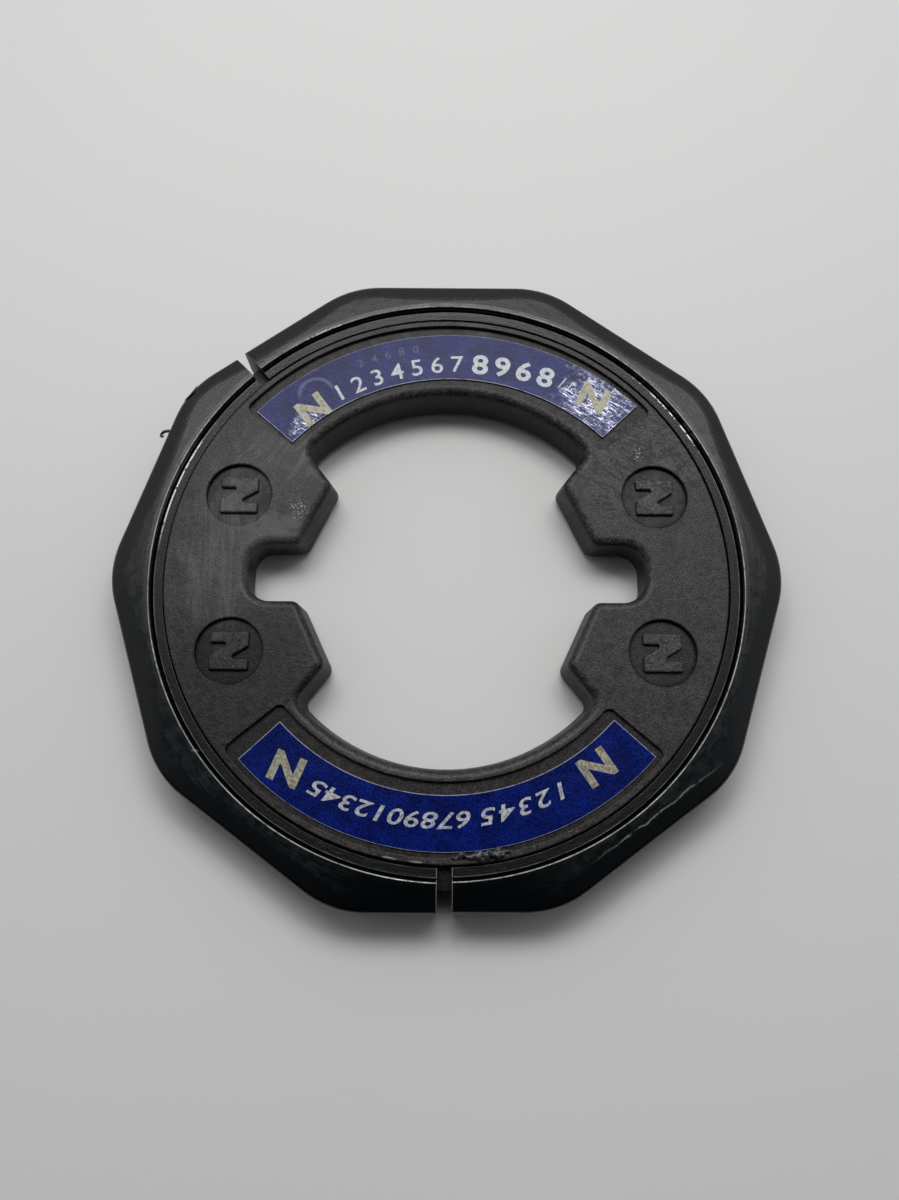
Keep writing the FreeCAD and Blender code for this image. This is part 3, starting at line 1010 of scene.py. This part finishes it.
def make_room(context, settings):
    """Soft light from all round, dim straight above and on the near side."""
    world = bpy.data.worlds.new("room")
    world.use_nodes = True
    world.node_tree.nodes.clear()
    graph = Graph(world.node_tree)
    direction = graph.add("ShaderNodeTexCoord").outputs["Generated"]
    parts = graph.split(direction)
    height = graph.ramp(parts[2], 0.97, 0.76, 0.01, 1.0)
    side = graph.ramp(parts[1], -0.6, 0.35, 0.03, 1.0)
    strength = graph.times(height, side, settings.fill_strength)
    back = graph.add("ShaderNodeBackground", {"Color": ROOM_COLOUR, "Strength": strength})
    graph.add("ShaderNodeOutputWorld", {"Surface": back.outputs[0]})
    context.scene.world = world


class WEIGHTRING_OT_stage(Operator):
    """Add the pale floor, the softboxes and the soft room light"""

    bl_idname = "weightring.stage"
    bl_label = "Add stage"

    def execute(self, context):
        settings = context.scene.weightring_stage
        make_floor(context, settings)
        make_softbox(context, "softbox left", settings, -1)
        make_softbox(context, "softbox right", settings, 1)
        make_room(context, settings)
        context.scene.view_settings.view_transform = "Standard"
        return {"FINISHED"}


# ---------------------------------------------------------------- CAD nodes


def dress(node, material):
    """Puts one material on every slot of a CAD node."""
    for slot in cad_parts[node].material_slots:
        slot.material = material


class WEIGHTRING_OT_core(Operator):
    """Give the moulded magnet its finish"""

    bl_idname = "weightring.core"
    bl_label = "Finish core"

    def execute(self, context):
        dress("magnet_core", core_material(context.scene.weightring_core))
        return {"FINISHED"}


class WEIGHTRING_OT_rim(Operator):
    """Give both rim segments their worn coating"""

    bl_idname = "weightring.rim"
    bl_label = "Finish rim"

    def execute(self, context):
        settings = context.scene.weightring_rim
        dress("rim_segment_long", rim_material("long rim coating", settings))
        dress("rim_segment_short", rim_material("short rim coating", settings, SHORT_SHIFT))
        return {"FINISHED"}


# ---------------------------------------------------------------- labels

# Labels in millimetres: turns from +X in degrees, inner and outer radius, own centre.
LABELS = {
    "upper": {"span": (44.3, 138.3), "radii": (15.55, 19.20), "centre": (0.27, -0.48), "scratched": 0.50},
    "lower": {"span": (223.4, 317.8), "radii": (15.38, 19.05), "centre": (0.0, 0.0), "scratched": 0.30},
}
# Crushed spots of the foil, painted with glare: centre and reach.
CRUSHED_GLARE = {"upper": (((10.9, 13.2), 3.6), ((-10.3, 11.2), 1.5)), "lower": ()}
CELL = 0.14
PRINT_CELL = 0.35
CURL_REACH = 2.2
CRUSH_CENTRE = Vector((11.3, 13.2, 0.0))
CRUSH_REACH = 2.6
UNEVEN = 0.012
UNEVEN_GRAIN = 0.9
END_CURL = 0.030
RIGHT_END_CURL = 0.075
CRUMPLE = 0.030
CRUMPLE_GRAIN = 2.4
JOIN_DISTANCE = 1e-5


def lift(side, place):
    """How far a label stands off its recess at a place, in millimetres."""
    shape = LABELS[side]
    away = Vector((*place.xy, 0.0)) - Vector((*shape["centre"], 0.0))
    turn = math.degrees(math.atan2(away.y, away.x)) % 360.0
    to_end = min(abs(turn - end) for end in shape["span"]) * math.radians(away.length)
    curl = max(0.0, 1.0 - to_end / CURL_REACH) ** 2
    rise = UNEVEN * (1.0 + noise.noise(place * UNEVEN_GRAIN))
    if side == "lower":
        return rise + END_CURL * curl
    rise += (RIGHT_END_CURL if turn < 90.0 else END_CURL) * curl
    dent = Vector((*place.xy, 0.0)) - DENT_CENTRE
    ridge = math.exp(-(((dent.length - DENT_R) / DENT_WIDTH) ** 2))
    rise += DENT_HEIGHT * ridge * max(0.0, min(1.0, 0.6 + dent.y))
    glare_haze = max(0.0, 1.0 - (Vector((*place.xy, 0.0)) - CRUSH_CENTRE).length / CRUSH_REACH)
    return rise + CRUMPLE * glare_haze * abs(noise.noise(place * CRUMPLE_GRAIN))


def settle(bm, side):
    """Lays a flat bmesh on its label's uneven surface."""
    for vert in bm.verts:
        flat = Vector((vert.co.x, vert.co.y, 0.0))
        vert.co.z += lift(side, flat)


def add_piece(context, name, bm, material, replaced=()):
    """Turns a bmesh in millimetres into a finished piece that rides on the ring."""
    bmesh.ops.scale(bm, vec=(MM, MM, MM), verts=bm.verts)
    mesh = bpy.data.meshes.new(name)
    bm.to_mesh(mesh)
    bm.free()
    mesh.materials.append(material)
    piece = bpy.data.objects.new(name, mesh)
    context.scene.collection.objects.link(piece)
    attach(piece, "root")
    if replaced:
        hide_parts(*replaced)
    return piece


def label_sheet(shape, bottom, thickness):
    """A flat ring sector with thickness, made by spinning a row of points round its centre."""
    bm = bmesh.new()
    start, end = (math.radians(turn) for turn in shape["span"])
    inner, outer = shape["radii"]
    centre = Vector((*shape["centre"], bottom))
    rows = round((outer - inner) / CELL)
    steps = round((end - start) * outer / CELL)
    ray = Vector((math.cos(start), math.sin(start), 0.0))
    row = [bm.verts.new(centre + ray * (inner + (outer - inner) * i / rows)) for i in range(rows + 1)]
    edges = [bm.edges.new(pair) for pair in zip(row, row[1:])]
    bmesh.ops.spin(bm, geom=row + edges, cent=centre, axis=UP, angle=end - start, steps=steps)
    top = bmesh.ops.extrude_face_region(bm, geom=bm.faces[:])["geom"]
    raised = [item for item in top if isinstance(item, bmesh.types.BMVert)]
    bmesh.ops.translate(bm, vec=UP * thickness, verts=raised)
    bmesh.ops.recalc_face_normals(bm, faces=bm.faces[:])
    return bm


class WEIGHTRING_OT_labels(Operator):
    """Make the two foil labels in their recesses"""

    bl_idname = "weightring.labels"
    bl_label = "Make labels"

    def execute(self, context):
        settings = context.scene.weightring_label
        for side, shape in LABELS.items():
            bm = label_sheet(shape, settings.bottom / MM, settings.thickness / MM)
            settle(bm, side)
            base = tuple(getattr(settings, side))
            material = label_material(f"{side} label foil", settings, shape, base, CRUSHED_GLARE[side])
            piece = add_piece(context, f"foil_label_{side}", bm, material, [f"label_{side}"])
            piece.data.shade_smooth()
            piece.data.set_sharp_from_angle(angle=math.radians(40.0))
        return {"FINISHED"}


# ---------------------------------------------------------------- print on the labels

# Rows of print in millimetres: own centre, and the radius to the middle of the letters, whose
# tops point outwards.
UPPER_ROW = {"centre": (1.14, -2.31), "radius": 18.62}
LOWER_ROW = {"centre": (-0.34, 0.39), "radius": 17.41}


def spaced(text, first, last):
    """Each letter of a text with its turn, evenly from the first turn to the last."""
    step = (last - first) / max(1, len(text) - 1)
    return [(letter, first + step * i) for i, letter in enumerate(text)]


UPPER_STYLE = {"side": "upper", "row": UPPER_ROW, "slant": 0.0, "finish": "silver"}
LOWER_STYLE = {"side": "lower", "row": LOWER_ROW, "height": 1.08, "weight": 0.012, "widen": 1.45,
               "slant": 0.28, "finish": "silver"}
# Each row with its letters, their height, how much bolder and wider they are, and their slant.
PRINT = (
    {**UPPER_STYLE, "name": "print_upper_thin", "letters": spaced("1234567", 119.5, 91.3),
     "height": 1.30, "weight": 0.006, "widen": 1.10},
    {**UPPER_STYLE, "name": "print_upper_bold", "letters": spaced("8968", 86.0, 70.6),
     "height": 1.62, "weight": 0.026, "widen": 1.15},
    {**UPPER_STYLE, "name": "print_upper_ticks", "letters": spaced("//", 66.6, 64.6),
     "height": 0.95, "weight": 0.004, "widen": 1.0},
    {**UPPER_STYLE, "name": "print_upper_faint", "letters": spaced("24680", 112.4, 100.2),
     "row": {**UPPER_ROW, "radius": 20.15}, "height": 0.62, "weight": 0.0, "widen": 1.1, "finish": "faint"},
    {**LOWER_STYLE, "name": "print_lower_first", "letters": spaced("12345", 297.4, 280.4)},
    {**LOWER_STYLE, "name": "print_lower_second", "letters": spaced("6789012345", 275.0, 242.0)},
)

# Polarity letters: name, side, place in millimetres and the turn that the top of the letter points to.
POLES = (
    ("print_pole_upper_left", "upper", (-9.95, 12.55), 126.5),
    ("print_pole_upper_right", "upper", (10.82, 13.62), 64.5),
    ("print_pole_lower_left", "lower", (-10.58, -13.72), 247.5),
    ("print_pole_lower_right", "lower", (10.12, -13.50), 304.0),
)
POLE_HEIGHT = 2.05


def letter_mesh(letter, height, weight, widen, slant, thickness):
    """One flat letter with thickness, centred on the origin with its top along +Y, in millimetres."""
    text = bpy.data.curves.new("letter", "FONT")
    text.body = letter
    text.size = 1.0
    text.offset = weight
    text.extrude = 0.5
    text.resolution_u = 4
    holder = bpy.data.objects.new("letter", text)
    mesh = bpy.data.meshes.new_from_object(holder)
    bpy.data.objects.remove(holder)
    bm = bmesh.new()
    bm.from_mesh(mesh)
    bpy.data.meshes.remove(mesh)
    bmesh.ops.remove_doubles(bm, verts=bm.verts, dist=JOIN_DISTANCE)
    low = Vector([min(vert.co[i] for vert in bm.verts) for i in range(3)])
    high = Vector([max(vert.co[i] for vert in bm.verts) for i in range(3)])
    bmesh.ops.translate(bm, vec=-(low + high) / 2, verts=bm.verts)
    scale = height / (high.y - low.y)
    bmesh.ops.scale(bm, vec=(scale * widen, scale, thickness), verts=bm.verts)
    for vert in bm.verts:
        vert.co.x += slant * vert.co.y
    return bm


def put_letter(bm, letter, place, up_turn, height):
    """Moves a letter to a place on the ring with its top along a turn, and adds it to a bmesh."""
    turn = Matrix.Rotation(math.radians(up_turn - 90.0), 4, "Z")
    bmesh.ops.transform(letter, matrix=Matrix.Translation((*place, height)) @ turn, verts=letter.verts)
    mesh = bpy.data.meshes.new("letter")
    letter.to_mesh(mesh)
    letter.free()
    bm.from_mesh(mesh)
    bpy.data.meshes.remove(mesh)


def divide(bm, cell):
    """Cuts a bmesh along a square grid so that it can follow an uneven surface."""
    for axis in (0, 1):
        normal = Vector((1.0, 0.0, 0.0)) if axis == 0 else Vector((0.0, 1.0, 0.0))
        low = min(vert.co[axis] for vert in bm.verts)
        high = max(vert.co[axis] for vert in bm.verts)
        for i in range(1, math.ceil((high - low) / cell)):
            geometry = bm.verts[:] + bm.edges[:] + bm.faces[:]
            bmesh.ops.bisect_plane(
                bm, geom=geometry, dist=JOIN_DISTANCE, plane_co=normal * (low + i * cell), plane_no=normal
            )


def print_level(settings):
    """Middle height and thickness of the print, in millimetres: sunk in the foil, just proud of it."""
    top = (settings.bottom + settings.thickness + settings.print_height) / MM
    thickness = 4.0 * settings.print_height / MM
    return top - thickness / 2, thickness


def finish_print(context, name, bm, side, material):
    """Lays a row of letters on its label as one piece."""
    divide(bm, PRINT_CELL)
    settle(bm, side)
    bmesh.ops.recalc_face_normals(bm, faces=bm.faces[:])
    add_piece(context, name, bm, material)


class WEIGHTRING_OT_print(Operator):
    """Print the rows of figures on the labels"""

    bl_idname = "weightring.print"
    bl_label = "Print figures"

    def execute(self, context):
        settings = context.scene.weightring_label
        level, thickness = print_level(settings)
        finishes = {
            "silver": print_material("silver print", tuple(settings.silver), 0.2, 0.20),
            "faint": print_material("faint print", tuple(settings.faint), 0.0, 0.55),
        }
        for line in PRINT:
            bm = bmesh.new()
            centre = Vector(line["row"]["centre"])
            for letter, turn in line["letters"]:
                ray = Vector((math.cos(math.radians(turn)), math.sin(math.radians(turn))))
                shape = letter_mesh(
                    letter, line["height"], line["weight"], line["widen"], line["slant"], thickness
                )
                put_letter(bm, shape, centre + ray * line["row"]["radius"], turn, level)
            finish_print(context, line["name"], bm, line["side"], finishes[line["finish"]])
        return {"FINISHED"}


class WEIGHTRING_OT_poles(Operator):
    """Print the four polarity letters on the labels"""

    bl_idname = "weightring.poles"
    bl_label = "Print polarity letters"

    def execute(self, context):
        settings = context.scene.weightring_label
        level, thickness = print_level(settings)
        material = print_material("gold print", tuple(settings.gold), 0.25, 0.60)
        for name, side, place, up_turn in POLES:
            bm = bmesh.new()
            shape = letter_mesh("N", POLE_HEIGHT, 0.040, 1.12, 0.0, thickness)
            put_letter(bm, shape, place, up_turn, level)
            finish_print(context, name, bm, side, material)
        return {"FINISHED"}


# ---------------------------------------------------------------- burrs and torn flash


SECTION_SIDES = 14
STEPS_PER_DEGREE = 12
END_SIZE = 0.12
LEAST_SIZE = 0.15
WIRE_ROUNDNESS = 2
WIRE_STEPS = 8


def ridge(centre_r, first, last, height, wide, tall, steps):
    """A closed bead of round section that follows the ring from one turn to another; roughen tapers it at both
    ends.
    """
    bm = bmesh.new()
    start = math.radians(first)
    made = bmesh.ops.create_circle(bm, cap_ends=False, radius=1.0, segments=SECTION_SIDES)
    stand = Matrix.Rotation(math.pi / 2, 4, "X")
    size = Matrix.Diagonal((wide, tall, 1.0, 1.0))
    place = Matrix.Rotation(start, 4, "Z") @ Matrix.Translation((centre_r, 0.0, height)) @ stand @ size
    bmesh.ops.transform(bm, matrix=place, verts=made["verts"])
    loop = bm.verts[:] + bm.edges[:]
    bmesh.ops.spin(bm, geom=loop, cent=(0, 0, 0), axis=UP, angle=math.radians(last - first), steps=steps)
    bmesh.ops.holes_fill(bm, edges=[edge for edge in bm.edges if edge.is_boundary])
    bmesh.ops.recalc_face_normals(bm, faces=bm.faces[:])
    return bm


def roughen(bm, centre_r, first, last, height, amount, grain, seed):
    """Tapers a bead towards its ends and makes its section uneven."""
    drift = Vector((seed, seed * 1.7, 0.0))
    for vert in bm.verts:
        turn = math.degrees(math.atan2(vert.co.y, vert.co.x)) % 360.0
        share_along = (turn - first) / (last - first)
        taper = math.sin(math.pi * min(1.0, max(0.0, share_along))) ** 0.5
        spine = Vector((math.cos(math.radians(turn)), math.sin(math.radians(turn)), 0.0)) * centre_r
        spine.z = height
        wobble = 1.0 + amount * noise.noise((vert.co + drift) / grain)
        vert.co = spine + (vert.co - spine) * (END_SIZE + (1.0 - END_SIZE) * taper) * max(LEAST_SIZE, wobble)


BEADS = (
    {"name": "core_flash_bead", "radius": 19.42, "turns": (271.2, 283.0), "height": 3.33, "wide": 0.30,
     "tall": 0.11, "amount": 1.5, "grain": 0.42, "seed": 3.0, "finish": "torn flash"},
    {"name": "core_flash_lump", "radius": 19.45, "turns": (277.0, 281.6), "height": 3.40, "wide": 0.26,
     "tall": 0.13, "amount": 1.7, "grain": 0.30, "seed": 11.0, "finish": "torn flash"},
    # Thin shiny flash by the core's edge, painted pale for its sheen by its finish.
    {"name": "core_scraped_edge", "radius": 19.74, "turns": (257.2, 266.4), "height": 3.26, "wide": 0.085,
     "tall": 0.06, "amount": 1.0, "grain": 0.9, "seed": 7.0, "finish": "scraped edge"},
)


class WEIGHTRING_OT_flash(Operator):
    """Add the torn moulding flash beside the lower gap"""

    bl_idname = "weightring.flash"
    bl_label = "Add torn flash"

    def execute(self, context):
        settings = context.scene.weightring_burr
        finishes = {
            "torn flash": torn_material("torn flash", tuple(settings.dark), tuple(settings.light), 0.4),
            # Thin shiny flash, painted pale grey for its sheen.
            "scraped edge": torn_material(
                "scraped edge", tuple(settings.scraped_sheen_dark), tuple(settings.scraped), 0.2
            ),
        }
        for bead in BEADS:
            first, last = bead["turns"]
            steps = round((last - first) * STEPS_PER_DEGREE)
            bm = ridge(bead["radius"], first, last, bead["height"], bead["wide"], bead["tall"], steps)
            roughen(
                bm, bead["radius"], first, last, bead["height"], bead["amount"], bead["grain"], bead["seed"]
            )
            piece = add_piece(context, bead["name"], bm, finishes[bead["finish"]])
            piece.data.shade_smooth()
        return {"FINISHED"}


def swept(points, widths):
    """A closed tapered wire through a few points, with its own half thickness at each."""
    curve = bpy.data.curves.new("wire", "CURVE")
    curve.dimensions = "3D"
    curve.bevel_depth = 1.0
    curve.bevel_resolution = WIRE_ROUNDNESS
    curve.resolution_u = WIRE_STEPS
    curve.use_fill_caps = True
    spline = curve.splines.new("NURBS")
    spline.points.add(len(points) - 1)
    for point, place, width in zip(spline.points, points, widths):
        point.co = (*place, 1.0)
        point.radius = width
    spline.order_u = 3
    spline.use_endpoint_u = True
    holder = bpy.data.objects.new("wire", curve)
    mesh = bpy.data.meshes.new_from_object(holder)
    bpy.data.objects.remove(holder)
    bm = bmesh.new()
    bm.from_mesh(mesh)
    bpy.data.meshes.remove(mesh)
    bmesh.ops.remove_doubles(bm, verts=bm.verts, dist=JOIN_DISTANCE)
    bmesh.ops.recalc_face_normals(bm, faces=bm.faces[:])
    return bm


# Burrs that stick out of the rim, in millimetres: points along each and its half thickness there.
BURRS = (
    {"name": "rim_burr_curl",
     "points": ((-20.15, 10.72, 2.80), (-20.48, 10.80, 2.95), (-20.72, 10.76, 3.00), (-20.92, 10.64, 3.00),
                (-21.05, 10.48, 2.98), (-21.02, 10.34, 2.96), (-20.88, 10.30, 2.96), (-20.82, 10.42, 2.97)),
     "widths": (0.13, 0.13, 0.12, 0.11, 0.10, 0.09, 0.07, 0.03)},
    {"name": "rim_burr_flake",
     "points": ((-19.45, 13.10, 3.25), (-19.20, 13.32, 3.33), (-18.95, 13.55, 3.38), (-18.72, 13.95, 3.40),
                (-18.55, 14.30, 3.36)),
     "widths": (0.02, 0.05, 0.07, 0.05, 0.015)},
)


class WEIGHTRING_OT_burrs(Operator):
    """Add the small burrs that stick out of the rim"""

    bl_idname = "weightring.burrs"
    bl_label = "Add burrs"

    def execute(self, context):
        settings = context.scene.weightring_burr
        material = torn_material("rim burr", tuple(settings.dark), tuple(settings.light), 0.6)
        for burr in BURRS:
            piece = add_piece(
                context, burr["name"], swept(burr["points"], burr["widths"]), material
            )
            piece.data.shade_smooth()
        return {"FINISHED"}


# ---------------------------------------------------------------- panel and registration


class WEIGHTRING_PT_panel(Panel):
    """Sidebar panel of the weight ring"""

    bl_idname = "WEIGHTRING_PT_panel"
    bl_label = "Weight Ring"
    bl_space_type = "VIEW_3D"
    bl_region_type = "UI"
    bl_category = "Weight Ring"

    def draw(self, context):
        for name in ("camera", "stage", "core", "rim", "label", "burr"):
            settings = getattr(context.scene, f"weightring_{name}")
            box = self.layout.box()
            for prop in settings.bl_rna.properties:
                if prop.identifier not in {"rna_type", "name"}:
                    box.prop(settings, prop.identifier)
        for operator in STEPS:
            self.layout.operator(operator.bl_idname)


GROUPS = {
    "weightring_camera": CameraSettings,
    "weightring_stage": StageSettings,
    "weightring_core": CoreSettings,
    "weightring_rim": RimSettings,
    "weightring_label": LabelSettings,
    "weightring_burr": BurrSettings,
}
STEPS = (
    WEIGHTRING_OT_camera,
    WEIGHTRING_OT_stage,
    WEIGHTRING_OT_core,
    WEIGHTRING_OT_rim,
    WEIGHTRING_OT_labels,
    WEIGHTRING_OT_print,
    WEIGHTRING_OT_poles,
    WEIGHTRING_OT_flash,
    WEIGHTRING_OT_burrs,
)


def register():
    for group in (*GROUPS.values(), *STEPS, WEIGHTRING_PT_panel):
        bpy.utils.register_class(group)
    for name, group in GROUPS.items():
        setattr(bpy.types.Scene, name, PointerProperty(type=group))


def unregister():
    for name in GROUPS:
        delattr(bpy.types.Scene, name)
    for group in (WEIGHTRING_PT_panel, *reversed(STEPS), *reversed(GROUPS.values())):
        bpy.utils.unregister_class(group)


def run(operator):
    """Calls one of the ring's operators by its name, and stops if it doesn't finish."""
    space, name = operator.bl_idname.split(".")
    if getattr(getattr(bpy.ops, space), name)() != {"FINISHED"}:
        raise RuntimeError(f"{operator.bl_label} did not finish")


def main():
    register()
    make_groups()
    for operator in STEPS:
        run(operator)


if __name__ == "__main__":
    main()
